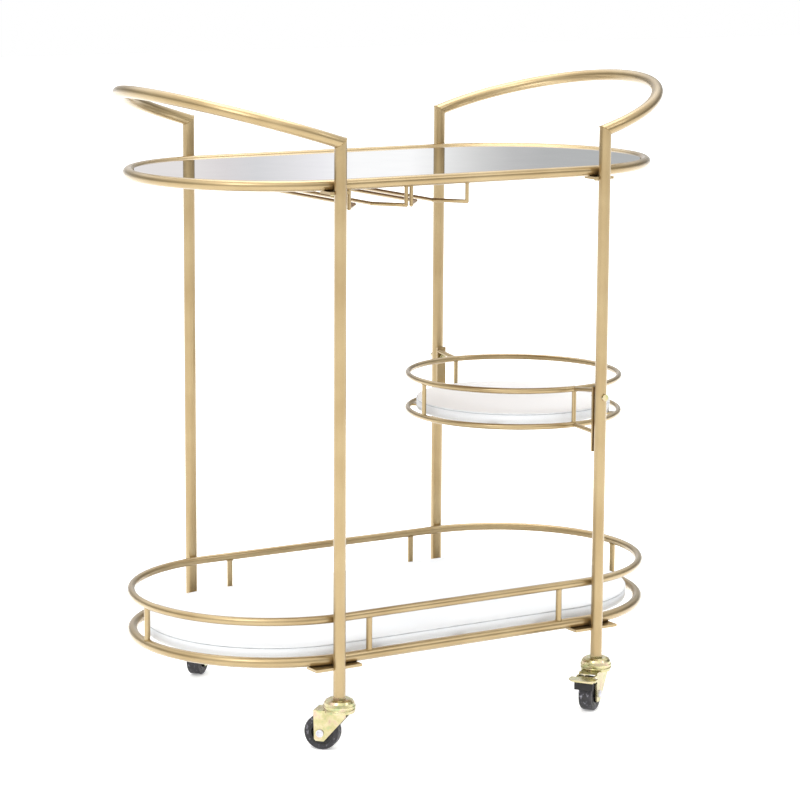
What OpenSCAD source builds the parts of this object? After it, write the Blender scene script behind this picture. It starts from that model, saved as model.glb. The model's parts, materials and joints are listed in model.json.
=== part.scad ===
// Oval bar cart on four swivel casters: two end frames with bowed push handles, a mirror top
// with a stemware rack under it, a railed lower shelf and a small round tray between the
// right-hand posts. Millimetres, +Z up, X along the cart, origin on the floor at its middle.

/* [Frame] */
// Distance between the left and right posts, centre to centre
post_span_x = 404; // [340:1:500]
// Distance between the front and rear posts, centre to centre
post_span_y = 404; // [340:1:500]
// Height of the corner where a post meets its handle
corner_h = 780; // [760:1:940]
// Outside diameter of the posts and handles
post_d = 16; // [14:0.5:20]
// Wall of the posts and handles
post_wall = 1.5; // [1:0.1:2]
// How far a handle bows out from its posts, measured up its slope
handle_reach = 188; // [160:1:200]
// Upward slope of the handles
handle_tilt = 17; // [5:1:30]

/* [Shelf rings] */
// Height of the centreline of the top ring
top_ring_h = 726; // [600:1:740]
// Height of the centreline of the lower ring
lower_ring_h = 116; // [90:1:220]
// Height of the guard rail's centreline above the lower ring's
guard_rise = 54; // [40:1:90]
// Outside diameter of the top and lower ring tube
ring_d = 14; // [12:0.5:18]
// Outside diameter of the guard rail tube
guard_d = 11; // [8:0.5:12]
// Wall of the ring and guard rail tubes
ring_wall = 1.2; // [1:0.1:1.6]
// Length of a ring's straight side
ring_straight = 372; // [300:1:400]
// Diameter of the lower shelf's balusters
baluster_d = 8; // [6:0.5:9]
// Distance between the balusters on a long side
baluster_span = 298; // [220:1:320]

/* [Boards and mirror] */
// Thickness of the lower board and of the tray board
board_t = 15; // [12:1:18]
// Height of a board's top above its ring's centreline
board_rise = 16; // [14:1:22]
// From the lower ring's centreline to the edge of the board
board_inset = 17; // [12:1:30]
// Thickness of the mirror
mirror_t = 4; // [3:1:6]
// Thickness of the backing panel under the mirror
backing_t = 3; // [2:1:5]
// Depth of the mirror's face below the top of the ring
mirror_drop = 3; // [1:0.5:5]
// Gap between the mirror's edge and the ring
mirror_gap = 0.5; // [0.3:0.1:2]
// Width of the flat bars that carry the boards and the mirror
bar_w = 20; // [14:1:30]
// Thickness of those bars
bar_t = 3; // [2:0.5:4]
// Distance between the bars of a long shelf
bar_pitch = 130; // [80:1:150]

/* [Shelf brackets] */
// Length of the bracket plate under the lower ring
lower_plate_l = 68; // [40:1:90]
// Length of the tab under the top ring
top_plate_l = 30; // [24:1:60]
// Thickness of the plates and tabs
plate_t = 3.5; // [2:0.5:5]
// How far a plate reaches in past the ring's centreline
plate_reach = 9; // [8:1:20]
// Diameter of the screws up through the plates into the ring
plate_screw_d = 4; // [3:0.5:5]

/* [Tray] */
// Height of the tray's lower ring, centreline
tray_h = 379; // [250:1:560]
// Height of the tray's upper ring above its lower ring
tray_rail_rise = 49; // [30:1:70]
// Radius of the tray rings, centreline
tray_r = 146.5; // [115:0.5:150]
// Diameter of the tray ring wire
tray_ring_d = 8; // [6:0.5:10]
// Diameter of the tray's balusters
tray_baluster_d = 6; // [4:0.5:7]
// How far the tray's centre stands in from the line of the right-hand posts
tray_offset = 4; // [0:1:10]
// From the tray ring's centreline to the edge of its board
tray_board_inset = 13; // [8:1:20]
// Width of the flat bar that hangs the tray on a post
hanger_w = 14; // [12:1:20]
// Thickness of that bar
hanger_t = 3; // [2:0.5:4]
// Diameter of the hanger's arms
hanger_arm_d = 6; // [4:0.5:7]
// Diameter of the hanger's bolts
hanger_bolt_d = 5; // [4:0.5:6]

/* [Stemware rack] */
// Diameter of the rack wire
wire_d = 5; // [3:0.5:6]
// Width of one channel at its mouth, wire centre to wire centre
channel_w = 84.5; // [70:0.5:95]
// Gap between the two channels, wire centre to wire centre
channel_gap = 7.5; // [7:0.5:20]
// Distance between the two rails of a channel, centre to centre
rail_pitch = 26; // [20:1:34]
// Drop from the ring's centreline to the rails
rail_drop = 30.5; // [26:0.5:45]
// Length of the flared mouth at each end of a channel
mouth_l = 36; // [20:1:60]
// How far the rack's middle stands to the left of the cart's middle
rack_offset = 92.5; // [60:0.5:95]

/* [Casters] */
// Height of the open lower end of the posts
post_foot_h = 70; // [70:1:76]
// Diameter of the wheels
wheel_d = 46; // [38:1:48]
// Width of the tread
tread_w = 18; // [14:1:20]
// Horizontal distance from the swivel to the axle
trail = 22; // [18:1:24]
// Diameter of the axle
axle_d = 6; // [5:0.5:7]
// Thickness of the fork's sheet
fork_t = 2.5; // [2:0.5:3]
// Diameter of the swivel cup
cup_d = 42; // [38:1:46]
// Diameter of the stem that is pressed into the post
stem_d = 8; // [7:0.5:9]
// Diameter of the king pin that the fork turns on
king_pin_d = 10; // [8:0.5:12]
// Width of the brake pedal
pedal_w = 38; // [30:1:42]
// Compass angle of each caster's trail: front left, rear left, front right, rear right
caster_angles = [132, 41, 215, 112];

/* [Hidden] */
$fn = 64;

gold = "#d8b981";
zinc = "#d9cf9c";
black = "#1c1b1c";
white = "#f4f3ef";

// Small amount by which a cutter passes the face it cuts
past = 1;
post_x = post_span_x / 2;
post_y = post_span_y / 2;
post_r = post_d / 2;
corner_signs = [[-1, -1], [-1, 1], [1, -1], [1, 1]];

// The rings stand between the posts and touch neither row
ring_r = post_y - post_r - ring_d / 2;
guard_r = post_y - post_r - guard_d / 2;
baluster_r = (ring_r + guard_r) / 2;
ring_end_x = ring_straight / 2;
ring_end_in = post_x - ring_end_x;
ring_y_at_post = sqrt(ring_r * ring_r - ring_end_in * ring_end_in);
guard_h = lower_ring_h + guard_rise;

// Handles: a straight stub at each corner, then a bow of side arcs and a crown. The arcs meet on
// the slant of a 3-4-5 triangle, which gives their radii and centres without roots
bow_stub = post_d / 2 + 1;
bow_join = atan(4 / 3);
bow_side_r = 2 * (handle_reach - bow_stub) - post_y;
bow_centre_y = post_y - bow_side_r;
bow_crown_r = bow_side_r + bow_centre_y * 5 / 4;
bow_crown_back = bow_centre_y * 3 / 4;
mitre = (90 - handle_tilt) / 2;

mirror_top = top_ring_h + ring_d / 2 - mirror_drop;
panel_r = ring_r - ring_d / 2 - mirror_gap;
tray_x = post_x - tray_offset;
tray_top_h = tray_h + tray_rail_rise;
// Width of the tray's bars as a share of the long shelves' bars
tray_bar_share = 0.75;

hanger_y = post_y - post_r;
hanger_in_y = hanger_y - hanger_t;
arm_y = hanger_y - hanger_t / 2;
hanger_bolt_h = tray_top_h - 3;
hanger_screw_h = tray_h - 23;
hanger_top_h = tray_top_h + 10;
hanger_foot_h = hanger_screw_h - 6;
arm_lift = 5;
screw_head_d = 9;
screw_head_t = 3;
nut_t = 4;
nut_af = 8;

rail_h = top_ring_h - rail_drop;
// The wire is a little thicker where it is bent
bend_swell = 0.3;

// Caster heights, all from the floor
axle_h = wheel_d / 2;
fork_top_h = post_foot_h - 17;
race_h = 3.5;
swivel_gap = 0.5;
cup_h = fork_top_h + race_h + swivel_gap;
cup_rim_h = 2.5;
// Cup above its rim, from the rim up: [share of the cup's diameter, share of the crown's height]
cup_crown_h = 8.5;
cup_crown = [[0.96, 0], [0.93, 0.45], [0.84, 0.78], [0.66, 1]];
neck_d = 18.5;
running_gap = 0.05;
hub_w = tread_w + 2;
hub_gap = 0.5;
fork_in = hub_w / 2 + hub_gap;
fork_out = fork_in + fork_t;
hub_r = wheel_d / 2 - 8;
tread_round = 2.5;
king_head_t = 3;
king_head_d = king_pin_d + 5;
king_foot_h = fork_top_h - fork_t - swivel_gap - king_head_t;
stem_l = 30;
socket_l = 34;
axle_head_d = 10;
axle_head_t = 2;
leg_foot = axle_h - 10.5;
leg_back = trail + 9;
leg_front = 12;
leg_front_drop = 7;

// Brake pedal, in the caster's own frame: X is the trail, its pin is beyond the tread
pedal_x = trail + 16.5;
pedal_h = axle_h + 23;
pedal_pin_d = 3;
pedal_eye_d = 6.6;
pedal_t = 2;
pedal_start = pedal_x + 5.5;
pedal_end = pedal_x + 24;
pedal_corner = 7;
pad_x = pedal_x + 7;
pad_w = 26;
pad_t = 4;
pad_l = 10;
pad_drop = 3;
// Room that the pedal's eye leaves for its return spring, on one side
spring_room = 5;
ear_r = 4.5;

// ---------- shared shapes ----------

module tube_profile(d, wall) {
    difference() {
        circle(d = d);
        circle(d = d - 2 * wall);
    }
}

// Oval of tube: straight sides of the given length and half-round ends
module oval(straight, r, d, wall) {
    for (s = [-1, 1]) {
        translate([s * straight / 2, 0, 0])
            rotate([0, 0, -s * 90])
                rotate_extrude(angle = 180)
                    translate([r, 0])
                        tube_profile(d, wall);
        translate([-straight / 2, s * r, 0])
            rotate([90, 0, 90])
                linear_extrude(straight)
                    tube_profile(d, wall);
    }
}

module torus(r, d) {
    rotate_extrude()
        translate([r, 0])
            circle(d = d);
}

module oval_plate(straight, r, t) {
    linear_extrude(t) {
        square([straight, 2 * r], center = true);
        for (s = [-1, 1])
            translate([s * straight / 2, 0])
                circle(r = r, $fn = 180);
    }
}

// Round rod between two points
module rod(a, b, d) {
    v = b - a;
    l = norm(v);
    translate(a)
        rotate([0, acos(v[2] / l), atan2(v[1], v[0])])
            cylinder(h = l, d = d);
}

// Pan-head screw along +Z, its head below the origin
module screw(d, l) {
    translate([0, 0, -screw_head_t])
        cylinder(h = screw_head_t, d = screw_head_d);
    cylinder(h = l, d = d);
}

module at_corner(i) {
    translate([corner_signs[i][0] * post_x, corner_signs[i][1] * post_y, 0])
        children();
}

// ---------- end frames ----------

// Everything above the mitre plane of a corner, on the right-hand side
module above_mitre() {
    size = 6 * post_d;
    translate([post_x, 0, corner_h])
        rotate([0, mitre, 0])
            translate([-size / 2, -post_y - size, 0])
                cube([size, 2 * post_y + 2 * size, size]);
}

module post(i, drilled = false) {
    front = corner_signs[i][1] < 0 ? 1 : -1;
    length = corner_h + 2 * post_d - post_foot_h;
    color(gold)
        difference() {
            at_corner(i)
                translate([0, 0, post_foot_h])
                    difference() {
                        cylinder(h = length, d = post_d);
                        translate([0, 0, -past])
                            cylinder(h = length + 2 * past, d = post_d - 2 * post_wall);
                    }
            if (corner_signs[i][0] > 0)
                above_mitre();
            else
                mirror([1, 0, 0])
                    above_mitre();
            if (drilled) {
                // through hole for the hanger's bolt, and one in the inner wall for its screw
                at_corner(i)
                    translate([0, post_d, hanger_bolt_h])
                        rotate([90, 0, 0])
                            cylinder(h = 2 * post_d, d = hanger_bolt_d);
                at_corner(i)
                    translate([0, front * post_r / 2, hanger_screw_h])
                        rotate([-90 * front, 0, 0])
                            cylinder(h = post_d, d = hanger_bolt_d);
            }
        }
}

module front_left_post() { post(0); }
module rear_left_post() { post(1); }
module front_right_post() { post(2, true); }
module rear_right_post() { post(3, true); }

// Half-space on one side of the slanted plane where a side arc meets the crown
module join_side(side) {
    size = 2 * bow_crown_r;
    translate([bow_stub, bow_centre_y, 0])
        rotate([0, 0, bow_join])
            translate([-size, side > 0 ? 0 : -size, -size / 2])
                cube([2 * size, size, size]);
}

// Straight stub, with a lead that the mitre cuts off, and the side arc that follows it
module bow_shoulder() {
    lead = 2 * post_d;
    translate([-lead, post_y, 0])
        rotate([90, 0, 90])
            linear_extrude(lead + bow_stub)
                tube_profile(post_d, post_wall);
    difference() {
        translate([bow_stub, bow_centre_y, 0])
            rotate_extrude(angle = 90)
                translate([bow_side_r, 0])
                    tube_profile(post_d, post_wall);
        join_side(-1);
    }
}

module bow_crown() {
    difference() {
        translate([bow_stub - bow_crown_back, 0, 0])
            rotate([0, 0, -90])
                rotate_extrude(angle = 180)
                    translate([bow_crown_r, 0])
                        tube_profile(post_d, post_wall);
        join_side(1);
        mirror([0, 1, 0])
            join_side(1);
    }
}

module bow() {
    difference() {
        translate([post_x, 0, corner_h])
            rotate([0, -handle_tilt, 0]) {
                bow_shoulder();
                mirror([0, 1, 0])
                    bow_shoulder();
                bow_crown();
            }
        // what lies on the post's side of the mitre
        size = 6 * post_d;
        translate([post_x, 0, corner_h])
            rotate([0, mitre, 0])
                translate([-size / 2, -post_y - size, -size])
                    cube([size, 2 * post_y + 2 * size, size]);
    }
}

module right_handle() {
    color(gold)
        bow();
}

module left_handle() {
    color(gold)
        mirror([1, 0, 0])
            bow();
}

// ---------- plates that hold the rings on the posts ----------

// On the ring's centreline beside each post
module screw_spots() {
    for (s = corner_signs)
        translate([s[0] * post_x, s[1] * ring_y_at_post, 0])
            children();
}

module plates(ring_h, l) {
    depth = post_y - ring_y_at_post + plate_reach;
    under = ring_h - ring_d / 2 - plate_t;
    difference() {
        for (s = corner_signs)
            translate([s[0] * post_x - l / 2, s[1] > 0 ? post_y - depth : -post_y, under])
                cube([l, depth, plate_t]);
        for (i = [0 : 3])
            at_corner(i)
                translate([0, 0, under - past])
                    cylinder(h = plate_t + 2 * past, d = post_d);
        screw_spots()
            translate([0, 0, under - past])
                cylinder(h = plate_t + 2 * past, d = plate_screw_d);
    }
}

module plate_screws(ring_h) {
    screw_spots()
        translate([0, 0, ring_h - ring_d / 2 - plate_t])
            screw(plate_screw_d, plate_t + ring_d / 2);
}

module ring_with_holes(ring_h) {
    difference() {
        translate([0, 0, ring_h])
            oval(ring_straight, ring_r, ring_d, ring_wall);
        screw_spots()
            translate([0, 0, ring_h - ring_d])
                cylinder(h = ring_d, d = plate_screw_d);
    }
}

// ---------- flat bars across a ring ----------

module cross_bars(ring_h, top_h) {
    difference() {
        for (k = [-1 : 1])
            translate([k * bar_pitch - bar_w / 2, -ring_r, top_h - bar_t])
                cube([bar_w, 2 * ring_r, bar_t]);
        for (s = [-1, 1])
            translate([-ring_end_x, s * ring_r, ring_h])
                rotate([0, 90, 0])
                    cylinder(h = ring_straight, d = ring_d);
    }
}

// ---------- top shelf ----------

module top_ring() {
    color(gold)
        ring_with_holes(top_ring_h);
}

module top_bars() {
    color(gold)
        cross_bars(top_ring_h, mirror_top - mirror_t - backing_t);
}

module mirror_backing() {
    color("#6d6257")
        translate([0, 0, mirror_top - mirror_t - backing_t])
            oval_plate(ring_straight, panel_r, backing_t);
}

module mirror_panel() {
    color("#c9cdd2")
        translate([0, 0, mirror_top - mirror_t])
            oval_plate(ring_straight, panel_r, mirror_t);
}

module top_tabs() {
    color(gold)
        plates(top_ring_h, top_plate_l);
}

module top_tab_screws() {
    color(zinc)
        plate_screws(top_ring_h);
}

// ---------- stemware rack ----------

// Wire k of four, from the left: down from the front ring, in along the mouth, back along
// the rail and up to the rear ring
module rack_wire(k) {
    channel = k < 2 ? -1 : 1;
    side = k % 2 == 0 ? -1 : 1;
    middle = channel * (channel_w + channel_gap) / 2 - rack_offset;
    out_x = middle + side * channel_w / 2;
    in_x = middle + side * rail_pitch / 2;
    throat_y = ring_r - mouth_l;
    path = [
        [out_x, -ring_r, top_ring_h], [out_x, -ring_r, rail_h], [in_x, -throat_y, rail_h],
        [in_x, throat_y, rail_h], [out_x, ring_r, rail_h], [out_x, ring_r, top_ring_h]
    ];
    color(gold)
        difference() {
            union() {
                for (i = [0 : len(path) - 2])
                    rod(path[i], path[i + 1], wire_d);
                for (i = [1 : len(path) - 2])
                    translate(path[i])
                        sphere(d = wire_d + bend_swell);
            }
            for (s = [-1, 1])
                translate([-ring_end_x, s * ring_r, top_ring_h])
                    rotate([0, 90, 0])
                        cylinder(h = ring_straight, d = ring_d);
        }
}

module rack_wire_1() { rack_wire(0); }
module rack_wire_2() { rack_wire(1); }
module rack_wire_3() { rack_wire(2); }
module rack_wire_4() { rack_wire(3); }

// ---------- lower shelf ----------

module lower_ring() {
    color(gold)
        ring_with_holes(lower_ring_h);
}

module guard_rail() {
    color(gold)
        translate([0, 0, guard_h])
            oval(ring_straight, guard_r, guard_d, ring_wall);
}

module baluster(x, y) {
    translate([x, y, lower_ring_h])
        cylinder(h = guard_rise, d = baluster_d);
}

// Coped to both tubes: straight tube along the sides, round bends at the ends
module guard_balusters() {
    color(gold) {
        difference() {
            for (s = corner_signs)
                baluster(s[0] * baluster_span / 2, s[1] * baluster_r);
            for (s = [-1, 1]) {
                translate([-ring_end_x, s * ring_r, lower_ring_h])
                    rotate([0, 90, 0])
                        cylinder(h = ring_straight, d = ring_d);
                translate([-ring_end_x, s * guard_r, guard_h])
                    rotate([0, 90, 0])
                        cylinder(h = ring_straight, d = guard_d);
            }
        }
        for (s = [-1, 1])
            difference() {
                baluster(s * (ring_end_x + baluster_r), 0);
                translate([s * ring_end_x, 0, lower_ring_h])
                    rotate([0, 0, 90])
                        torus(ring_r, ring_d);
                translate([s * ring_end_x, 0, guard_h])
                    rotate([0, 0, 90])
                        torus(guard_r, guard_d);
            }
    }
}

module lower_bars() {
    color(gold)
        cross_bars(lower_ring_h, lower_ring_h + board_rise - board_t);
}

module lower_board() {
    color(white)
        translate([0, 0, lower_ring_h + board_rise - board_t])
            oval_plate(ring_straight, ring_r - board_inset, board_t);
}

module lower_plates() {
    color(gold)
        plates(lower_ring_h, lower_plate_l);
}

module lower_plate_screws() {
    color(zinc)
        plate_screws(lower_ring_h);
}

// ---------- tray ----------

module tray_lower_ring() {
    color(gold)
        translate([tray_x, 0, tray_h])
            torus(tray_r, tray_ring_d);
}

module tray_upper_ring() {
    color(gold)
        translate([tray_x, 0, tray_top_h])
            torus(tray_r, tray_ring_d);
}

module tray_rings() {
    tray_lower_ring();
    tray_upper_ring();
}

module tray_balusters() {
    color(gold)
        difference() {
            for (a = [0 : 90 : 270])
                translate([tray_x + tray_r * cos(a), tray_r * sin(a), tray_h])
                    cylinder(h = tray_rail_rise, d = tray_baluster_d);
            tray_rings();
        }
}

// One bar runs across, the other is in two halves that butt against it
module tray_bars() {
    w = bar_w * tray_bar_share;
    z = tray_h + board_rise - board_t - bar_t;
    color(gold)
        difference() {
            translate([tray_x, 0, z])
                rotate([0, 0, 45]) {
                    translate([-tray_r, -w / 2, 0])
                        cube([2 * tray_r, w, bar_t]);
                    for (s = [0, 180])
                        rotate([0, 0, s])
                            translate([-w / 2, w / 2, 0])
                                cube([w, tray_r - w / 2, bar_t]);
                }
            tray_lower_ring();
        }
}

module tray_board() {
    color(white)
        translate([tray_x, 0, tray_h + board_rise - board_t])
            cylinder(h = board_t, r = tray_r - tray_board_inset, $fn = 180);
}

// Front hanger: a flat bar on the inner side of the post with an arm to each tray ring
module hanger() {
    color(gold)
        difference() {
            union() {
                translate([post_x - hanger_w / 2, -hanger_y, hanger_foot_h])
                    cube([hanger_w, hanger_t, hanger_top_h - hanger_foot_h]);
                rod([tray_x, -tray_r, tray_top_h], [tray_x, -arm_y, tray_top_h + arm_lift],
                    hanger_arm_d);
                rod([tray_x, -tray_r, tray_h], [tray_x, -arm_y, tray_h - arm_lift / 2],
                    hanger_arm_d);
            }
            tray_rings();
            for (h = [hanger_bolt_h, hanger_screw_h])
                translate([post_x, -hanger_in_y + past, h])
                    rotate([90, 0, 0])
                        cylinder(h = hanger_t + 2 * past, d = hanger_bolt_d);
        }
}

module tray_front_hanger() { hanger(); }
module tray_rear_hanger() {
    mirror([0, 1, 0])
        hanger();
}

module hanger_bolts() {
    color(zinc)
        for (s = [-1, 1])
            translate([post_x, s * (post_y + post_r), hanger_bolt_h])
                rotate([s * 90, 0, 0])
                    screw(hanger_bolt_d, post_d + hanger_t + nut_t + 1);
}

module hanger_nuts() {
    color(zinc)
        for (s = [-1, 1])
            translate([post_x, s * hanger_in_y, hanger_bolt_h])
                rotate([s * 90, 0, 0])
                    difference() {
                        cylinder(h = nut_t, d = nut_af / cos(30), $fn = 6);
                        translate([0, 0, -past])
                            cylinder(h = nut_t + 2 * past, d = hanger_bolt_d);
                    }
}

module hanger_screws() {
    color(zinc)
        for (s = [-1, 1])
            translate([post_x, s * hanger_in_y, hanger_screw_h])
                rotate([-s * 90, 0, 0])
                    screw(hanger_bolt_d, hanger_t + post_wall + 2);
}

// ---------- casters ----------

module caster_frame(i) {
    at_corner(i)
        rotate([0, 0, caster_angles[i]])
            children();
}

// Plastic sockets inside the feet of the posts
module caster_sockets() {
    color(black)
        for (i = [0 : 3])
            at_corner(i)
                translate([0, 0, post_foot_h])
                    difference() {
                        cylinder(h = socket_l, d = post_d - 2 * post_wall);
                        translate([0, 0, -past])
                            cylinder(h = stem_l + past, d = stem_d);
                    }
}

// Stem, hexagonal neck, swivel cup with a rounded shoulder and king pin, riveted together
module stem() {
    translate([0, 0, king_foot_h])
        cylinder(h = post_foot_h + stem_l - king_foot_h, d = stem_d);
    translate([0, 0, cup_h])
        cylinder(h = post_foot_h - cup_h, d = neck_d, $fn = 6);
    translate([0, 0, cup_h])
        cylinder(h = cup_rim_h, d = cup_d);
    for (k = [1 : len(cup_crown) - 1]) {
        low = cup_crown[k - 1];
        high = cup_crown[k];
        translate([0, 0, cup_h + cup_rim_h + cup_crown_h * low[1]])
            cylinder(h = cup_crown_h * (high[1] - low[1]), d1 = cup_d * low[0], d2 = cup_d * high[0]);
    }
    translate([0, 0, king_foot_h])
        cylinder(h = cup_h - king_foot_h, d = king_pin_d);
    translate([0, 0, king_foot_h])
        cylinder(h = king_head_t, d = king_head_d);
}

module caster_stems() {
    color(zinc)
        for (i = [0 : 3])
            at_corner(i)
                stem();
}

module leg_profile(braked) {
    polygon([
        [-leg_front, fork_top_h - fork_t], [leg_back, fork_top_h - fork_t],
        [leg_back - 1, leg_foot + 2.5], [leg_back - 3, leg_foot],
        [trail - 5, leg_foot], [trail - 6.5, leg_foot + 1.5], [-leg_front, fork_top_h - leg_front_drop]
    ]);
    if (braked) {
        translate([pedal_x, pedal_h])
            circle(r = ear_r);
        translate([leg_back - 3, pedal_h - ear_r])
            square([pedal_x - leg_back + 3, 2 * ear_r]);
    }
}

module fork(i, braked = false) {
    color(zinc)
        caster_frame(i)
            difference() {
                union() {
                    translate([0, 0, fork_top_h - fork_t])
                        cylinder(h = fork_t, d = 2 * fork_out);
                    translate([0, -fork_out, fork_top_h - fork_t])
                        cube([leg_back, 2 * fork_out, fork_t]);
                    translate([0, 0, fork_top_h - fork_t])
                        cylinder(h = fork_t + race_h, d = cup_d - 2);
                    for (y = [-fork_out, fork_in])
                        translate([0, y + fork_t, 0])
                            rotate([90, 0, 0])
                                linear_extrude(fork_t)
                                    leg_profile(braked);
                }
                translate([0, 0, fork_top_h - fork_t - past])
                    cylinder(h = fork_t + race_h + 2 * past, d = king_pin_d + 2 * running_gap);
                translate([trail, fork_out + past, axle_h])
                    rotate([90, 0, 0])
                        cylinder(h = 2 * fork_out + 2 * past, d = axle_d);
                if (braked)
                    translate([pedal_x, fork_out + past, pedal_h])
                        rotate([90, 0, 0])
                            cylinder(h = 2 * fork_out + 2 * past, d = pedal_pin_d);
            }
}

module front_left_fork() { fork(0); }
module rear_left_fork() { fork(1, true); }
module front_right_fork() { fork(2, true); }
module rear_right_fork() { fork(3); }

// A pin across the fork with a flat head on each side
module cross_pin(x, h, d, head_d, head_t) {
    translate([x, 0, h])
        rotate([90, 0, 0]) {
            cylinder(h = 2 * fork_out, d = d, center = true);
            for (s = [0, 1])
                mirror([0, 0, s])
                    translate([0, 0, fork_out])
                        cylinder(h = head_t, d = head_d);
        }
}

module axle(i) {
    color("#c9c7c0")
        caster_frame(i)
            cross_pin(trail, axle_h, axle_d, axle_head_d, axle_head_t);
}

module front_left_axle() { axle(0); }
module rear_left_axle() { axle(1); }
module front_right_axle() { axle(2); }
module rear_right_axle() { axle(3); }

module wheel_place(i) {
    caster_frame(i)
        translate([trail, 0, axle_h])
            rotate([90, 0, 0])
                children();
}

// Hub: a web between a boss and a rim
module hub(i) {
    boss_r = axle_d / 2 + 3.5;
    rim_t = 2;
    web = 6;
    color(black)
        wheel_place(i)
            rotate_extrude() {
                translate([axle_d / 2 + running_gap, -hub_w / 2])
                    square([boss_r - axle_d / 2 - running_gap, hub_w]);
                translate([boss_r - past, -web / 2])
                    square([hub_r - boss_r + past, web]);
                translate([hub_r - rim_t, -tread_w / 2])
                    square([rim_t, tread_w]);
            }
}

module front_left_hub() { hub(0); }
module rear_left_hub() { hub(1); }
module front_right_hub() { hub(2); }
module rear_right_hub() { hub(3); }

module tyre(i) {
    wheel_r = wheel_d / 2;
    color("#2a2829")
        wheel_place(i)
            rotate_extrude() {
                translate([hub_r, -tread_w / 2])
                    square([wheel_r - tread_round - hub_r, tread_w]);
                translate([hub_r, -tread_w / 2 + tread_round])
                    square([wheel_r - hub_r, tread_w - 2 * tread_round]);
                for (s = [-1, 1])
                    translate([wheel_r - tread_round, s * (tread_w / 2 - tread_round)])
                        circle(r = tread_round);
            }
}

module front_left_tyre() { tyre(0); }
module rear_left_tyre() { tyre(1); }
module front_right_tyre() { tyre(2); }
module rear_right_tyre() { tyre(3); }

// Brake pedal: an eye on the pin, a neck and a wide foot plate with clipped corners
module pedal(i) {
    eye_w = 2 * fork_in - 1;
    plate_h = pedal_h + pedal_eye_d / 2 - pedal_t;
    color(zinc)
        caster_frame(i)
            difference() {
                union() {
                    translate([pedal_x, eye_w / 2 - spring_room, pedal_h])
                        rotate([90, 0, 0])
                            cylinder(h = eye_w - spring_room, d = pedal_eye_d);
                    translate([pedal_x, -eye_w / 2, plate_h])
                        cube([pedal_start - pedal_x + past, eye_w, pedal_t]);
                    translate([0, 0, plate_h])
                        linear_extrude(pedal_t)
                            polygon([
                                [pedal_start, -pedal_w / 2], [pedal_end - pedal_corner, -pedal_w / 2],
                                [pedal_end, -pedal_w / 2 + pedal_corner],
                                [pedal_end, pedal_w / 2 - pedal_corner],
                                [pedal_end - pedal_corner, pedal_w / 2], [pedal_start, pedal_w / 2]
                            ]);
                    translate([pad_x, -pad_w / 2, pedal_h - pad_drop])
                        cube([pad_t, pad_w, plate_h - pedal_h + pad_drop + past]);
                }
                translate([pedal_x, fork_out, pedal_h])
                    rotate([90, 0, 0])
                        cylinder(h = 2 * fork_out, d = pedal_pin_d + 2 * running_gap);
            }
}

module rear_left_pedal() { pedal(1); }
module front_right_pedal() { pedal(2); }

// Rubber pad that hangs from the pedal and swings in against the tread
module brake_pad(i) {
    color(black)
        caster_frame(i)
            translate([pad_x, -pad_w / 2, pedal_h - pad_drop - pad_l])
                cube([pad_t, pad_w, pad_l]);
}

module rear_left_brake_pad() { brake_pad(1); }
module front_right_brake_pad() { brake_pad(2); }

module pedal_pin(i) {
    color("#c9c7c0")
        caster_frame(i)
            cross_pin(pedal_x, pedal_h, pedal_pin_d, pedal_pin_d + 2.5, 1);
}

module rear_left_pedal_pin() { pedal_pin(1); }
module front_right_pedal_pin() { pedal_pin(2); }

front_left_post();
rear_left_post();
front_right_post();
rear_right_post();
left_handle();
right_handle();
top_ring();
top_bars();
mirror_backing();
mirror_panel();  // mirror
top_tabs();
top_tab_screws();
rack_wire_1();
rack_wire_2();
rack_wire_3();
rack_wire_4();
lower_ring();
guard_rail();
guard_balusters();
lower_bars();
lower_board();
lower_plates();
lower_plate_screws();
tray_lower_ring();
tray_upper_ring();
tray_balusters();
tray_bars();
tray_board();
tray_front_hanger();
tray_rear_hanger();
hanger_bolts();
hanger_nuts();
hanger_screws();
caster_sockets();
caster_stems();
front_left_fork();
rear_left_fork();
front_right_fork();
rear_right_fork();
front_left_axle();
rear_left_axle();
front_right_axle();
rear_right_axle();
front_left_hub();
rear_left_hub();
front_right_hub();
rear_right_hub();
front_left_tyre();
rear_left_tyre();
front_right_tyre();
rear_right_tyre();
rear_left_pedal();
front_right_pedal();
rear_left_brake_pad();
front_right_brake_pad();
rear_left_pedal_pin();
front_right_pedal_pin();
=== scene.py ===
import json
import math

import bmesh
import bpy
from mathutils import Matrix, Vector


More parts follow.
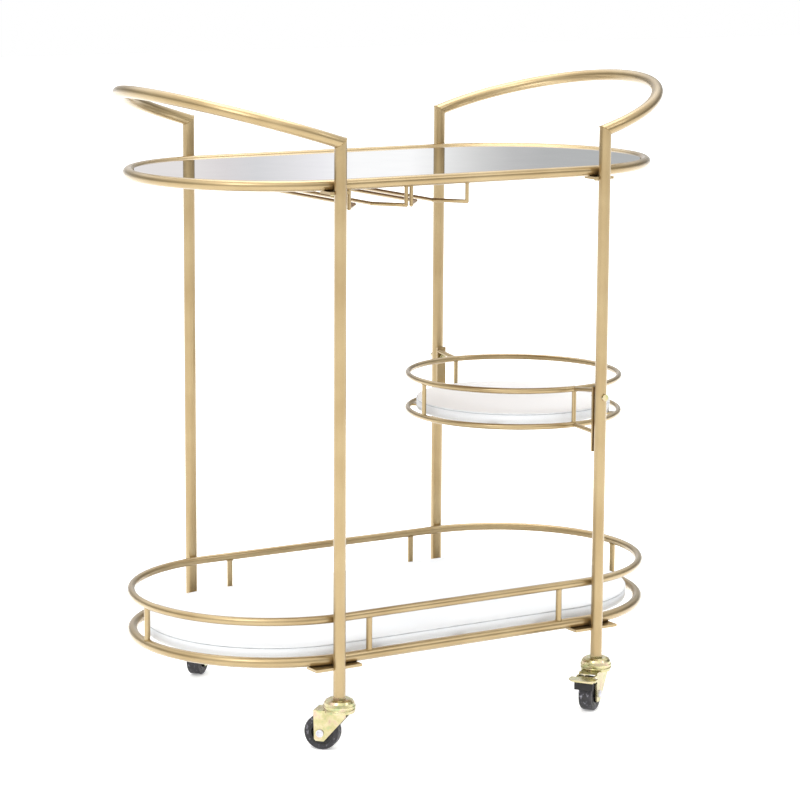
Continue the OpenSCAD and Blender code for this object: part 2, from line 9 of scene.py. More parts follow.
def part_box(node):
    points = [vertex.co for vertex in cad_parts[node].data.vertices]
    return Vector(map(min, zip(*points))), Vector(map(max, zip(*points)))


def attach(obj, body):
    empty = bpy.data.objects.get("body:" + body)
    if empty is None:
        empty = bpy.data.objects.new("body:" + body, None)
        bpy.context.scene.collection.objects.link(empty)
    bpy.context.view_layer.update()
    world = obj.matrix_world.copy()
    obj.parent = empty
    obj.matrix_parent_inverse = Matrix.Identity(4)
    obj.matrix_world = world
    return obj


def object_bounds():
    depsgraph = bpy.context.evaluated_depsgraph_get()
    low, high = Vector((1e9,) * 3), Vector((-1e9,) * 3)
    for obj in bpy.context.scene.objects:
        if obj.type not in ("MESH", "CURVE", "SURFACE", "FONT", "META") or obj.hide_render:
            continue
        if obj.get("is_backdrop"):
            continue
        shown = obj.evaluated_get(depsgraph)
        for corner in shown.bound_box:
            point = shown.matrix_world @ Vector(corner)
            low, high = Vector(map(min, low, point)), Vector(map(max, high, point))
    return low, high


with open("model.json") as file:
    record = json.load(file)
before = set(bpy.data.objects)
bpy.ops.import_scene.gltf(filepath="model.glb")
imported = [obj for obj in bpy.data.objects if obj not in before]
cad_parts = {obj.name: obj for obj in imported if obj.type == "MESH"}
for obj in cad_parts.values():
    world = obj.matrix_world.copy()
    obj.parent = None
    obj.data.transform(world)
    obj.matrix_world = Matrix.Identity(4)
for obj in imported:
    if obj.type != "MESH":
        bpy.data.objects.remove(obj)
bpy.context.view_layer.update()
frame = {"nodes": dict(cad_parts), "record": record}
print("frame loaded,", len(frame["nodes"]), "parts")

nodes = frame["nodes"]
mm = 0.001
noiseLow, noiseHigh = 0.3, 0.7  # most of a noise lies between these two


def toLinear(hexText):  # sRGB hex to the linear values that shaders take
    out = []
    for i in (1, 3, 5):
        c = int(hexText[i:i + 2], 16) / 255
        out.append(c / 12.92 if c <= 0.04045 else ((c + 0.055) / 1.055) ** 2.4)
    return (*out, 1)


def addNode(tree, kind, settings=None, inputs=None):  # one node; an input is a value or a socket
    n = tree.nodes.new(kind)
    for k, v in (settings or {}).items():
        setattr(n, k, v)
    for k, v in (inputs or {}).items():
        if isinstance(v, bpy.types.NodeSocket):
            tree.links.new(v, n.inputs[k])
        else:
            n.inputs[k].default_value = v
    return n


def newMaterial(name):
    m = bpy.data.materials.new(name)
    m.use_nodes = True
    m.node_tree.nodes.clear()
    return m, m.node_tree


def surface(m, inputs):  # ends a material with a principled shader that has these inputs
    t = m.node_tree
    shader = addNode(t, "ShaderNodeBsdfPrincipled", None, inputs)
    out = addNode(t, "ShaderNodeOutputMaterial")
    t.links.new(shader.outputs["BSDF"], out.inputs["Surface"])
    return m


def blend(tree, fac, a, b, kind="MIX"):  # colour a with b laid over it, or multiplied in
    n = addNode(tree, "ShaderNodeMix", {"data_type": "RGBA", "blend_type": kind}, {
        "Factor": fac, "A": a, "B": b})
    return n.outputs["Result"]


def ramp(tree, fac, stops):  # colour ramp over a factor; stops are (place, hex)
    n = addNode(tree, "ShaderNodeValToRGB", None, {"Fac": fac})
    els = n.color_ramp.elements
    while len(els) < len(stops):
        els.new(0.5)
    for e, (place, colour) in zip(els, stops):
        e.position = place
        e.color = toLinear(colour)
    return n.outputs["Color"]


def span(tree, fac, low, high, toLow, toHigh):  # maps low..high to toLow..toHigh
    n = addNode(tree, "ShaderNodeMapRange", None, {
        "Value": fac, "From Min": low, "From Max": high, "To Min": toLow, "To Max": toHigh})
    return n.outputs["Result"]


def noise(tree, sizeMm, detail=3.0, rough=0.5, stretch=(1, 1, 1)):  # noise in real millimetres
    place = addNode(tree, "ShaderNodeTexCoord").outputs["Object"]
    scaled = addNode(tree, "ShaderNodeMapping", None, {
        "Vector": place, "Scale": tuple(s / (sizeMm * mm) for s in stretch)}).outputs["Vector"]
    n = addNode(tree, "ShaderNodeTexNoise", None, {
        "Vector": scaled, "Scale": 1.0, "Detail": detail, "Roughness": rough})
    return n.outputs["Fac"]


def bump(tree, height, depthMm, strength=1.0, normal=None):
    ins = {"Height": height, "Distance": depthMm * mm, "Strength": strength}
    if normal is not None:
        ins["Normal"] = normal
    return addNode(tree, "ShaderNodeBump", None, ins).outputs["Normal"]


def powderCoatedSteel():  # steel tube in metallic gold powder coat: satin glow, faint orange peel
    look = {"low": "#826e47", "mid": "#9a8359", "high": "#ab966d", "peelMm": 2.2, "peelDeepMm": 0.03,
            "cloudMm": 70, "fleckMm": 0.9, "flecked": 0.2, "metal": 0.85, "rough": (0.3, 0.36),
            "coat": 0.8, "coatRough": 0.2}
    m, t = newMaterial("gold_powder_coat")
    cloud = noise(t, look["cloudMm"], 2.0)
    fleck = noise(t, look["fleckMm"], 2.0)
    tone = ramp(t, span(t, cloud, noiseLow, noiseHigh, 0, 1), [(0, look["mid"]), (1, look["high"])])
    dots = span(t, fleck, 0.45, 0.75, 0, look["flecked"])
    peel = noise(t, look["peelMm"], 1.0)
    return surface(m, {
        "Base Color": blend(t, dots, tone, toLinear(look["low"])), "Metallic": look["metal"],
        "Roughness": span(t, cloud, noiseLow, noiseHigh, *look["rough"]),
        "Coat Weight": look["coat"], "Coat Roughness": look["coatRough"],
        "Normal": bump(t, peel, look["peelDeepMm"], 0.25)})


def weldedSteel():  # ground and coated weld: same gold, a little rougher and darker in its ripples
    look = {"low": "#7f6a42", "high": "#ac966b", "rippleMm": 1.1, "rippleDeepMm": 0.12,
            "metal": 0.9, "rough": 0.42}
    m, t = newMaterial("gold_coated_weld")
    ripple = noise(t, look["rippleMm"], 2.0)
    tone = ramp(t, ripple, [(0.35, look["low"]), (0.65, look["high"])])
    return surface(m, {
        "Base Color": tone, "Metallic": look["metal"], "Roughness": look["rough"],
        "Normal": bump(t, ripple, look["rippleDeepMm"], 0.6)})


def yellowZinc():  # passivated zinc on pressed steel: pale gold with pink and green bloom
    look = {"bloom": [(0.3, "#a9b186"), (0.43, "#bdb68a"), (0.56, "#c8bf9c"),
                      (0.68, "#c7b09a"), (0.8, "#b59674")],
            "shade": "#b8ad8a", "shaded": 0.35, "bloomMm": 9, "driftMm": 23, "drawnMm": 0.5,
            "drawnDeepMm": 0.02, "rough": (0.16, 0.28)}
    m, t = newMaterial("yellow_passivated_zinc")
    bloom = noise(t, look["bloomMm"], 2.5, 0.6)
    drift = noise(t, look["driftMm"], 1.0)
    tone = ramp(t, bloom, look["bloom"])
    shade = span(t, drift, 0.35, 0.65, 0, look["shaded"])
    drawn = noise(t, look["drawnMm"], 2.0, 0.5, (1, 1, 0.15))
    return surface(m, {
        "Base Color": blend(t, shade, tone, toLinear(look["shade"]), "MULTIPLY"), "Metallic": 1.0,
        "Roughness": span(t, bloom, noiseLow, noiseHigh, *look["rough"]),
        "Normal": bump(t, drawn, look["drawnDeepMm"], 0.3)})


def brightZinc():  # clear zinc on turned steel: cool white with fine turning lines
    look = {"low": "#b4b3b8", "high": "#dcdce4", "lineMm": 0.4, "lineDeepMm": 0.02, "rough": 0.28}
    m, t = newMaterial("bright_zinc_steel")
    fine = noise(t, look["lineMm"], 3.0)
    tone = ramp(t, fine, [(noiseLow, look["low"]), (noiseHigh, look["high"])])
    return surface(m, {
        "Base Color": tone, "Metallic": 1.0, "Roughness": look["rough"],
        "Normal": bump(t, fine, look["lineDeepMm"], 0.4)})


def silveredGlass():  # float glass silvered at the back: clean reflection, faint haze of dust
    look = {"low": "#f0f1f4", "high": "#f6f7f9", "hazeMm": 45, "rough": (0.015, 0.05)}
    m, t = newMaterial("silvered_mirror_glass")
    haze = noise(t, look["hazeMm"], 3.0)
    tone = ramp(t, haze, [(noiseLow, look["low"]), (noiseHigh, look["high"])])
    return surface(m, {
        "Base Color": tone, "Metallic": 1.0, "Roughness": span(t, haze, 0.35, 0.75, *look["rough"])})


def hardboard():  # pressed wood fibre: brown, matt, with short pale fibres
    look = {"fibres": [(0.3, "#5a4230"), (0.55, "#7c5f45"), (0.75, "#a08060")], "shade": "#b59a80",
            "shaded": 0.4, "fibreMm": 1.6, "fibreDeepMm": 0.15, "cloudMm": 30, "rough": 0.8}
    m, t = newMaterial("pressed_hardboard")
    fibre = noise(t, look["fibreMm"], 5.0, 0.65, (1, 0.3, 1))
    cloud = noise(t, look["cloudMm"], 2.0)
    tone = ramp(t, fibre, look["fibres"])
    shade = span(t, cloud, noiseLow, noiseHigh, 0, look["shaded"])
    return surface(m, {
        "Base Color": blend(t, shade, tone, toLinear(look["shade"]), "MULTIPLY"),
        "Roughness": look["rough"], "Normal": bump(t, fibre, look["fibreDeepMm"], 0.5)})


def whiteMelamine(name, low, high):  # melamine faced board: white, satin, very fine pearl texture
    look = {"pearlMm": 1.4, "pearlDeepMm": 0.01, "cloudMm": 120, "rough": (0.46, 0.56)}
    m, t = newMaterial(name)
    pearl = noise(t, look["pearlMm"], 2.0)
    cloud = noise(t, look["cloudMm"], 2.0)
    tone = ramp(t, cloud, [(noiseLow, low), (noiseHigh, high)])
    return surface(m, {
        "Base Color": tone, "Roughness": span(t, cloud, noiseLow, noiseHigh, *look["rough"]),
        "Specular IOR Level": 0.35, "Normal": bump(t, pearl, look["pearlDeepMm"], 0.04)})


def edgeBand():  # PVC edge strip: close to the lower board's white, with a fine grain
    look = {"low": "#dfe2e6", "high": "#e9ecef", "grainMm": 0.8, "grainDeepMm": 0.02, "rough": 0.38}
    m, t = newMaterial("white_pvc_edge_band")
    grain = noise(t, look["grainMm"], 2.0)
    tone = ramp(t, grain, [(noiseLow, look["low"]), (noiseHigh, look["high"])])
    return surface(m, {
        "Base Color": tone, "Roughness": look["rough"],
        "Normal": bump(t, grain, look["grainDeepMm"], 0.3)})


def mouldedNylon(name, low, high, rough):  # moulded plastic: near black, faint flow marks
    look = {"flowMm": 6, "gritMm": 0.35, "gritDeepMm": 0.03}
    m, t = newMaterial(name)
    flow = noise(t, look["flowMm"], 3.0, 0.5)
    grit = noise(t, look["gritMm"], 2.0)
    tone = ramp(t, flow, [(noiseLow, low), (noiseHigh, high)])
    return surface(m, {
        "Base Color": tone, "Roughness": span(t, flow, noiseLow, noiseHigh, rough, rough + 0.1),
        "Normal": bump(t, grit, look["gritDeepMm"], 0.4)})


def scuffedRubber():  # solid rubber tyre: charcoal with grey floor dust rubbed into it
    look = {"black": "#151416", "charcoal": "#2b292e", "dust": "#a09ea8", "dusted": 0.7,
            "cloudMm": 8, "scuffMm": 5.5, "scuffDeepMm": 0.08, "rough": (0.42, 0.75)}
    m, t = newMaterial("scuffed_tyre_rubber")
    cloud = noise(t, look["cloudMm"], 4.0, 0.6)
    scuff = noise(t, look["scuffMm"], 5.0, 0.68)
    tone = ramp(t, cloud, [(noiseLow, look["black"]), (noiseHigh, look["charcoal"])])
    mask = span(t, scuff, 0.56, 0.7, 0, look["dusted"])
    return surface(m, {
        "Base Color": blend(t, mask, tone, toLinear(look["dust"])),
        "Roughness": span(t, scuff, 0.4, 0.7, *look["rough"]),
        "Normal": bump(t, scuff, look["scuffDeepMm"], 0.45)})


def plainPaper():  # lit sweep of paper: pale and even, with a trace of tone
    look = {"low": "#fbfbfa", "high": "#fdfdfc", "cloudMm": 900, "rough": 0.75, "glow": 0.3}
    m, t = newMaterial("pale_floor")
    tone = ramp(t, noise(t, look["cloudMm"], 2.0), [(noiseLow, look["low"]), (noiseHigh, look["high"])])
    return surface(m, {
        "Base Color": tone, "Roughness": look["rough"], "Emission Color": toLinear("#ffffff"),
        "Emission Strength": look["glow"]})


def glueLinePaintedShade():  # hot melt glue line between face and edge band, painted grey as the shadow line along the board's top edge, its tone varying at random
    look = {"low": "#b0b3b7", "high": "#cccfd2", "mottleMm": 14, "mottleDeepMm": 0.05, "rough": 0.6}
    m, t = newMaterial("grey_glue_line_painted_shade")
    mottle = noise(t, look["mottleMm"], 3.0)
    tone = ramp(t, mottle, [(noiseLow, look["low"]), (noiseHigh, look["high"])])
    return surface(m, {
        "Base Color": tone, "Roughness": look["rough"],
        "Normal": bump(t, mottle, look["mottleDeepMm"], 0.3)})


gold = powderCoatedSteel()
weld = weldedSteel()
zinc = yellowZinc()
steel = brightZinc()
mirrorGlass = silveredGlass()
backing = hardboard()
melamine = whiteMelamine("white_melamine_board", "#e2e5e8", "#e8ebee")
# the tray board's copy of the melamine, painted brighter than the lower board's to make up for the
# shade that the mirror shelf above casts on it
trayMelaminePaintedBright = whiteMelamine("white_tray_melamine_painted_bright", "#f5f7f9", "#fafbfc")
band = edgeBand()
# glue line painted grey as the shadow line along the boards' top edges
glueLineShade = glueLinePaintedShade()
wheelPlastic = mouldedNylon("wheel_nylon", "#101011", "#1d1c1e", 0.3)
socketPlastic = mouldedNylon("socket_nylon", "#141415", "#222123", 0.45)
padRubber = mouldedNylon("brake_pad_rubber", "#0e0d0d", "#1a1817", 0.55)
tyreRubber = scuffedRubber()

slotMaterial = {
    "gold_frame": gold, "mirror": mirrorGlass, "backing_board": backing, "white_board": melamine,
    "zinc_fittings": zinc, "axle_steel": steel, "socket_plastic": socketPlastic,
    "wheel_plastic": wheelPlastic, "tyre_rubber": tyreRubber, "pad_rubber": padRubber}
for part in frame["record"]["subparts"]:
    o = nodes[part["node"]]
    o.data.materials.clear()
    # the tray board gets its copy painted brighter against the mirror shelf's shade
    own = trayMelaminePaintedBright if part["node"] == "tray_board" else slotMaterial[part["material_slot"]]
    o.data.materials.append(own)
print("materials assigned")


def meshPiece(name, verts, faces, material, body, slot, smooth=True):
    me = bpy.data.meshes.new(name)
    me.from_pydata([tuple(v) for v in verts], [], faces)
    me.validate()
    bm = bmesh.new()
    bm.from_mesh(me)
    bmesh.ops.recalc_face_normals(bm, faces=bm.faces)
    bm.to_mesh(me)
    bm.free()
    for p in me.polygons:
        p.use_smooth = smooth
    me.materials.append(material)
    o = bpy.data.objects.new(name, me)
    bpy.context.scene.collection.objects.link(o)
    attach(o, body)
    return o


def tubeAlong(path, radius, closed=False, sides=12):  # round bead or wire through the points
    verts, faces = [], []
    count = len(path)
    up = None
    for i, p in enumerate(path):
        if closed:
            ahead = (path[(i + 1) % count] - path[i - 1]).normalized()
        else:
            ahead = (path[min(i + 1, count - 1)] - path[max(i - 1, 0)]).normalized()
        if up is None:
            up = ahead.orthogonal().normalized()
        up = (up - ahead * up.dot(ahead)).normalized()
        side = ahead.cross(up)
        for k in range(sides):
            a = 2 * math.pi * k / sides
            verts.append(p + radius * (math.cos(a) * up + math.sin(a) * side))
    rings = count if closed else count - 1
    for i in range(rings):
        for k in range(sides):
            a, b = i * sides, ((i + 1) % count) * sides
            faces.append((a + k, a + (k + 1) % sides, b + (k + 1) % sides, b + k))
    if not closed:
        faces.append(tuple(range(sides))[::-1])
        faces.append(tuple((count - 1) * sides + k for k in range(sides)))
    return verts, faces


def join(parts):  # several (verts, faces) into one
    verts, faces = [], []
    for v, f in parts:
        shift = len(verts)
        verts += v
        faces += [tuple(i + shift for i in q) for q in f]
    return verts, faces


def spun(profile, centre, axis, steps=40):  # closed profile of (radius, along) turned round an axis
    axis = axis.normalized()
    out = axis.orthogonal().normalized()
    side = axis.cross(out)
    verts, faces = [], []
    n = len(profile)
    for i in range(steps):
        a = 2 * math.pi * i / steps
        way = math.cos(a) * out + math.sin(a) * side
        verts += [centre + way * r + axis * h for r, h in profile]
    for i in range(steps):
        for k in range(n):
            a, b = i * n, ((i + 1) % steps) * n
            faces.append((a + k, a + (k + 1) % n, b + (k + 1) % n, b + k))
    return verts, faces


def size(node, axis):
    lo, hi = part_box(node)
    return hi[axis] - lo[axis]


def middle(node):
    lo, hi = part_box(node)
    return (Vector(lo) + Vector(hi)) / 2


postLow, postHigh = (Vector(v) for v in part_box("front_right_post"))
postR = (postHigh.x - postLow.x) / 2
postX = abs(middle("front_right_post").x)
postY = abs(middle("front_right_post").y)
ringH = middle("top_ring").z
lowerH = middle("lower_ring").z
guardH = middle("guard_rail").z
ringR = size("top_ring", 2) / 2
guardTubeR = size("guard_rail", 2) / 2
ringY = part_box("top_ring")[1][1] - ringR
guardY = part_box("guard_rail")[1][1] - guardTubeR
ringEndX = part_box("top_ring")[1][0] - ringR - ringY
trayLow, trayHigh = (Vector(v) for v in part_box("tray_lower_ring"))
trayWireR = (trayHigh.z - trayLow.z) / 2
trayCentre = (trayLow + trayHigh) / 2
trayR = (trayHigh.x - trayLow.x) / 2 - trayWireR
trayTopH = middle("tray_upper_ring").z

welds = {"bead": 0.8 * mm, "smallBead": 0.6 * mm, "mitreBead": 0.45 * mm, "sides": 8,
         "saddleSteps": 36, "mitreSteps": 48}
rods = {"balusterR": 4 * mm, "balusterX": 149 * mm, "trayBalusterR": 3 * mm, "rackWireR": 2.5 * mm,
        "cornerH": 780 * mm, "handleTilt": 17}


def saddle(centre, along, across, up, rodR, tubeR, bead):
    # bead where a rod of rodR meets a tube of tubeR at a right angle; up points along the rod
    path = []
    for i in range(welds["saddleSteps"]):
        a = 2 * math.pi * i / welds["saddleSteps"]
        x, y = rodR * math.cos(a), rodR * math.sin(a)
        path.append(centre + along * x + across * y + up * math.sqrt(tubeR ** 2 - y ** 2))
    return tubeAlong(path, bead, True, welds["sides"])


def up(sign):
    return Vector((0, 0, sign))


xAxis, yAxis = Vector((1, 0, 0)), Vector((0, 1, 0))
balusterY = (ringY + guardY) / 2
beads = []
for sy in (-1, 1):
    for sx in (-1, 1):
        for h, way, tube in ((lowerH, 1, ringR), (guardH, -1, guardTubeR)):
            spot = Vector((sx * rods["balusterX"], sy * balusterY, h))
            beads.append(saddle(spot, xAxis, yAxis, up(way), rods["balusterR"], tube, welds["bead"]))
for sx in (-1, 1):
    for h, way, tube in ((lowerH, 1, ringR), (guardH, -1, guardTubeR)):
        spot = Vector((sx * (ringEndX + balusterY), 0, h))
        beads.append(saddle(spot, yAxis, xAxis, up(way), rods["balusterR"], tube, welds["bead"]))
meshPiece("guard_weld_beads", *join(beads), weld, "frame", "gold_frame")

beads = []
for k in range(4):
    a = k * math.pi / 2
    out = Vector((math.cos(a), math.sin(a), 0))
    ahead = Vector((-math.sin(a), math.cos(a), 0))
    for h, way in ((trayCentre.z, 1), (trayTopH, -1)):
        spot = Vector((trayCentre.x, trayCentre.y, h)) + out * trayR
        beads.append(saddle(spot, ahead, out, up(way), rods["trayBalusterR"], trayWireR,
                            welds["smallBead"]))
meshPiece("tray_weld_beads", *join(beads), weld, "frame", "gold_frame")

beads = []
wireR = rods["rackWireR"]
for k in range(1, 5):
    lo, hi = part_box("rack_wire_%d" % k)
    wireX = lo[0] + wireR if k % 2 == 1 else hi[0] - wireR
    for sy in (-1, 1):
        spot = Vector((wireX, sy * ringY, ringH))
        beads.append(saddle(spot, xAxis, yAxis, up(-1), wireR, ringR, welds["smallBead"]))
meshPiece("rack_weld_beads", *join(beads), weld, "frame", "gold_frame")


def mitreBead(sx, sy):  # bead round the slanted joint between a post and its handle
    tilt = math.radians(rods["handleTilt"])
    slope = (math.pi / 2 - tilt) / 2
    path = []
    for i in range(welds["mitreSteps"]):
        a = 2 * math.pi * i / welds["mitreSteps"]
        x, y = postR * math.cos(a), postR * math.sin(a)
        h = rods["cornerH"] - x * math.tan(slope)
        path.append(Vector((sx * (postX + x), sy * postY + y, h)))
    return tubeAlong(path, welds["mitreBead"], True, welds["sides"])


beads = [mitreBead(sx, sy) for sx in (-1, 1) for sy in (-1, 1)]
meshPiece("handle_mitre_welds", *join(beads), weld, "frame", "gold_frame")
print("welds made")

boardBand = {"thick": 1.0 * mm, "round": 0.9 * mm, "seamDown": 2.5 * mm, "seam": 1.5 * mm,
             "skin": 0.1 * mm, "glue": 0.5 * mm, "endSteps": 64, "cornerSteps": 4}


def ovalPoint(straight, radius, a):  # point at angle a on the oval's outline, end by end
    x = straight if math.cos(a) >= 0 else -straight
    return Vector((x + radius * math.cos(a), radius * math.sin(a), 0))


def roundOval(name, profile, straight, radius, centre, material):
    # closed profile of (outward, height) carried round the oval's outline
    arc = boardBand["endSteps"]
    angles = []
    for start in (math.pi / 2, -math.pi / 2):
        angles += [start + math.pi * (i + 0.0001) / (arc + 0.0002) for i in range(arc + 1)]
    verts, faces = [], []
    for a in angles:
        way = Vector((math.cos(a), math.sin(a), 0))
        spot = ovalPoint(straight, radius, a)
        for off, h in profile:
            verts.append(centre + spot + way * off + Vector((0, 0, h)))
    total, n = len(angles), len(profile)
    for i in range(total):
        for k in range(n):
            a, b = i * n, ((i + 1) % total) * n
            faces.append((a + k, a + (k + 1) % n, b + (k + 1) % n, b + k))
    return meshPiece(name, verts, faces, material, "frame", "white_board")


def bandRound(board, straight, radius, centre, low, high):
    # thin strip round a board's edge, its corners rounded, and the glue line in its groove, painted
    # grey as a shadow line
    r, t, skin = boardBand["round"], boardBand["thick"], boardBand["skin"]
    seam = high - boardBand["seamDown"]
    seamTop = seam + boardBand["seam"]
    profile = [(t, seam), (skin, seam + skin), (skin, seamTop - skin), (t, seamTop)]
    steps = boardBand["cornerSteps"]
    for i in range(steps + 1):
        a = math.pi / 2 * i / steps
        profile.append((t - r + r * math.cos(a), high - r + r * math.sin(a)))
    profile += [(-r, high + skin / 2), (-r, low - skin / 2)]
    for i in range(steps + 1):
        a = -math.pi / 2 + math.pi / 2 * i / steps
        profile.append((t - r + r * math.cos(a), low + r + r * math.sin(a)))
    roundOval(board + "_edge_band", profile, straight, radius, centre, band)
    # grey strip in the groove: the glue line, painted grey as the shadow line along the top edge
    glue = boardBand["glue"]
    line = [(skin * 1.5, seam + skin * 1.5), (glue, seam + skin * 1.2),
            (glue, seamTop - skin * 1.2), (skin * 1.5, seamTop - skin * 1.5)]
    roundOval(board + "_edge_glue_line_painted_shade", line, straight, radius, centre, glueLineShade)


lo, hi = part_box("lower_board")
bandRound("lower_board", ringEndX, hi[1], Vector((0, 0, 0)), lo[2], hi[2])
lo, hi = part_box("tray_board")
bandRound("tray_board", 0, hi[1], Vector((trayCentre.x, trayCentre.y, 0)), lo[2], hi[2])
print("edge bands made")

casters = {"front_left": 132, "rear_left": 41, "front_right": 215, "rear_right": 112}  # turn, degrees
corners = {"front_left": (-1, -1), "rear_left": (-1, 1), "front_right": (1, -1), "rear_right": (1, 1)}
caster = {"trail": 22 * mm, "axleH": 23 * mm, "forkOut": 13 * mm}
# profiles are in mm: (radius, along the axis) unless noted
hub = {"rim": [(15.0, 8.9), (15.0, 9.5), (15.6, 9.7), (16.4, 9.5), (16.6, 8.9)],
       "rib": [(-0.7, 2.8), (0.7, 2.8), (0.5, 6.4), (-0.5, 6.4)],  # (across, out from the middle)
       "ribs": 6, "ribFrom": 6, "ribTo": 13.4, "rimSteps": 56}
rivet = {"dome": [(0.05, -0.1), (0.05, 1.1), (1.4, 1.0), (2.6, 0.6), (3.4, 0.1), (3.4, -0.1)],
         "stand": 1.9 * mm, "steps": 32}
race = {"lip": [(19.4, 53.2), (20.6, 53.2), (20.9, 54.3), (20.5, 55.4), (19.4, 55.6)], "steps": 64}
spring = {"x": 38.5 * mm, "h": 46 * mm, "coilR": 2.6 * mm, "wireR": 0.55 * mm, "turns": 3.2,
          "from": 5.7 * mm, "to": 8.7 * mm, "steps": 80, "sides": 8,
          "tail": [(-2, 0.1, -3), (-4, 0.2, -7)]}  # tail in mm from the coil's end


def casterPlace(name):
    sx, sy = corners[name]
    return (Matrix.Translation((sx * postX, sy * postY, 0))
            @ Matrix.Rotation(math.radians(casters[name]), 4, "Z"))


def placed(name, shape):
    m = casterPlace(name)
    verts, faces = shape
    return [m @ Vector(v) for v in verts], faces


def inMm(profile, way=1):  # profile given in mm, to metres; way -1 turns it to the other side
    return [(r * mm, way * h * mm) for r, h in profile]


for name in casters:
    wheelMid = Vector((caster["trail"], 0, caster["axleH"]))
    # raised rim on each face of the hub
    rims = [spun(inMm(hub["rim"], s), wheelMid, yAxis, hub["rimSteps"]) for s in (-1, 1)]
    meshPiece(name + "_hub_rims", *placed(name, join(rims)), wheelPlastic, name + "_wheel",
              "wheel_plastic")
    ribs = []  # spokes raised on both faces of the hub
    for s in (-1, 1):
        for k in range(hub["ribs"]):
            a = k * 2 * math.pi / hub["ribs"]
            way = Vector((math.cos(a), 0, math.sin(a)))
            side = Vector((-math.sin(a), 0, math.cos(a)))
            near, far = wheelMid + way * hub["ribFrom"] * mm, wheelMid + way * hub["ribTo"] * mm
            verts = []
            for p in (near, far):
                for u, v in hub["rib"]:
                    verts.append(p + side * u * mm + yAxis * s * v * mm)
            ribs.append((verts, [(0, 1, 2, 3), (4, 7, 6, 5), (0, 4, 5, 1), (1, 5, 6, 2),
                                 (2, 6, 7, 3), (3, 7, 4, 0)]))
    meshPiece(name + "_hub_ribs", *placed(name, join(ribs)), wheelPlastic, name + "_wheel",
              "wheel_plastic", False)
    # domed rivet ends of the axle
    domes = []
    for s in (-1, 1):
        base = wheelMid + yAxis * s * (caster["forkOut"] + rivet["stand"])
        domes.append(spun(inMm(rivet["dome"]), base, yAxis * s, rivet["steps"]))
    meshPiece(name + "_axle_rivets", *placed(name, join(domes)), steel, name + "_caster", "axle_steel")
    # rolled lip round the race on top of the fork, under the cup
    lips = spun(inMm(race["lip"]), Vector((0, 0, 0)), up(1), race["steps"])
    meshPiece(name + "_race_lip", *placed(name, lips), zinc, name + "_caster", "zinc_fittings")

for name in ("rear_left", "front_right"):  # the two with brakes
    path = []
    steps = spring["steps"]
    for i in range(steps + 1):
        f = i / steps
        a = 2 * math.pi * spring["turns"] * f
        path.append(Vector((spring["x"] + spring["coilR"] * math.cos(a),
                            spring["from"] + (spring["to"] - spring["from"]) * f,
                            spring["h"] + spring["coilR"] * math.sin(a))))
    tail = path[-1]
    path += [tail + Vector(v) * mm for v in spring["tail"]]
    coil = tubeAlong(path, spring["wireR"], False, spring["sides"])
    meshPiece(name + "_pedal_spring", *placed(name, coil), steel, name + "_caster", "axle_steel")
print("casters detailed")

ground = {"half": 14, "drop": 0.5 * mm}
me = bpy.data.meshes.new("floor")
half = ground["half"]
me.from_pydata([(-half, -half, 0), (half, -half, 0), (half, half, 0), (-half, half, 0)],
               [], [(0, 1, 2, 3)])
floor = bpy.data.objects.new("floor", me)
floor.location.z = -ground["drop"]
bpy.context.scene.collection.objects.link(floor)
me.materials.append(plainPaper())
floor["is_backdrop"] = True

view = {"azimuth": -0.556962, "elevation": 0.174081, "roll": 0.0059946, "distance": 3.949453,
        "aimX": 0.0107775, "aimH": 0.407592, "lens": 131.0643765, "sensor": 36, "reach": 60}
az, el, roll = view["azimuth"], view["elevation"], view["roll"]
level = Vector((math.cos(az), math.sin(az), 0))
ahead = Vector((-math.sin(az), math.cos(az), 0))


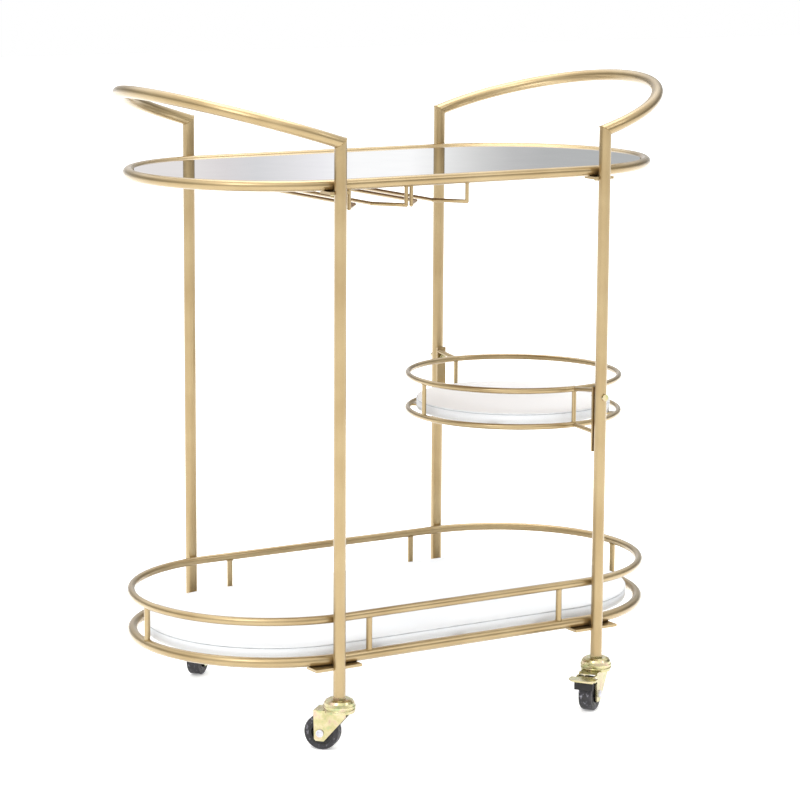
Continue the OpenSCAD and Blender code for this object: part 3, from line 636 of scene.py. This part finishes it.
def studioWorld():  # white room, darker behind the cart, with grey cards low down behind it
    cards = [(0.056, "#e8e4e3"), (0.125, "#dedadb"), (0.19, "#dadadc"), (0.26, "#e5e4e6"),
             (0.33, "#f1f0f3"), (0.4, "#ffffff"), (0.52, "#ffffff"), (0.6, "#ebebea"),
             (0.67, "#d4d4d3"), (0.74, "#c1c1c1"), (0.81, "#b8b9b9"), (1, "#b6b8b8")]
    w = bpy.data.worlds.new("studio")
    bpy.context.scene.world = w
    w.use_nodes = True
    t = w.node_tree
    t.nodes.clear()
    way = addNode(t, "ShaderNodeTexCoord").outputs["Generated"]

    def along(vector):
        n = addNode(t, "ShaderNodeVectorMath", {"operation": "DOT_PRODUCT"}, {0: way, 1: tuple(vector)})
        return n.outputs["Value"]

    side, deep, high = along(level), along(ahead), along((0, 0, 1))
    cardTone = ramp(t, span(t, side, -0.08, 0.08, 0, 1), cards)
    room = ramp(t, span(t, deep, -1, 1, 0, 1), [
        (0, "#ffffff"), (0.4, "#f2f2f2"), (0.55, "#d2d2d2"), (0.8, "#aeaeae"), (1, "#aeaeae")])
    strip = addNode(t, "ShaderNodeMath", {"operation": "MULTIPLY"}, {
        0: span(t, deep, 0.9, 0.96, 0, 1), 1: span(t, high, 0.35, 0.2, 0, 1)}).outputs[0]
    wings = ramp(t, span(t, side, -1, 1, 0, 1), [
        (0, "#c8c8c8"), (0.22, "#ffffff"), (0.6, "#ffffff"), (0.82, "#c4c4c4"), (1, "#c0c0c0")])
    white = toLinear("#ffffff")
    lifted = blend(t, span(t, high, 0.3, 0.5, 0, 0.8), room, white)  # paler towards the ceiling
    shaded = blend(t, 1.0, lifted, wings, "MULTIPLY")
    withCards = blend(t, strip, shaded, cardTone)
    above = blend(t, span(t, high, 0.066, 0.08, 0, 1), white, withCards)  # white below the horizon
    sky = addNode(t, "ShaderNodeBackground", None, {
        "Color": above, "Strength": span(t, high, 0.32, 0.6, 1.0, 2.1)})
    out = addNode(t, "ShaderNodeOutputWorld")
    t.links.new(sky.outputs["Background"], out.inputs["Surface"])


studioWorld()


def areaLight(name, place, target, width, height, power, colour="#ffffff"):
    data = bpy.data.lights.new(name, "AREA")
    data.shape = "RECTANGLE"
    data.size = width
    data.size_y = height
    data.energy = power
    data.color = toLinear(colour)[:3]
    o = bpy.data.objects.new(name, data)
    o.location = place
    o.rotation_euler = (Vector(target) - Vector(place)).to_track_quat("-Z", "Y").to_euler()
    bpy.context.scene.collection.objects.link(o)
    return o


areaLight("key_softbox", (-2.6, -1.6, 2.9), (0.2, 0, 0.45), 1.2, 1.6, 26)
areaLight("fill_softbox", (1.9, -2.6, 3.0), (0, 0, 0.4), 0.8, 1.4, 12)
areaLight("top_softbox", (0.2, 0.4, 3.2), (0, 0, 0.3), 2.0, 2.0, 40)

back = Vector((math.sin(az) * math.cos(el), -math.cos(az) * math.cos(el), math.sin(el)))
right = Vector((math.cos(az), math.sin(az), 0))
upward = back.cross(right)
right, upward = (math.cos(roll) * right + math.sin(roll) * upward,
                 -math.sin(roll) * right + math.cos(roll) * upward)
data = bpy.data.cameras.new("camera")
data.lens = view["lens"]
data.sensor_width = view["sensor"]
data.clip_end = view["reach"]
camera = bpy.data.objects.new("camera", data)
bpy.context.scene.collection.objects.link(camera)
place = back * view["distance"] + level * view["aimX"] + Vector((0, 0, view["aimH"]))
m = Matrix((right, upward, back)).transposed().to_4x4()
m.translation = place
camera.matrix_world = m
bpy.context.scene.camera = camera
bpy.context.scene.view_settings.view_transform = "Standard"
print("floor, light and camera ready")

lo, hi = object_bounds()
print("visual", [round(v, 4) for v in (*lo, *hi)])
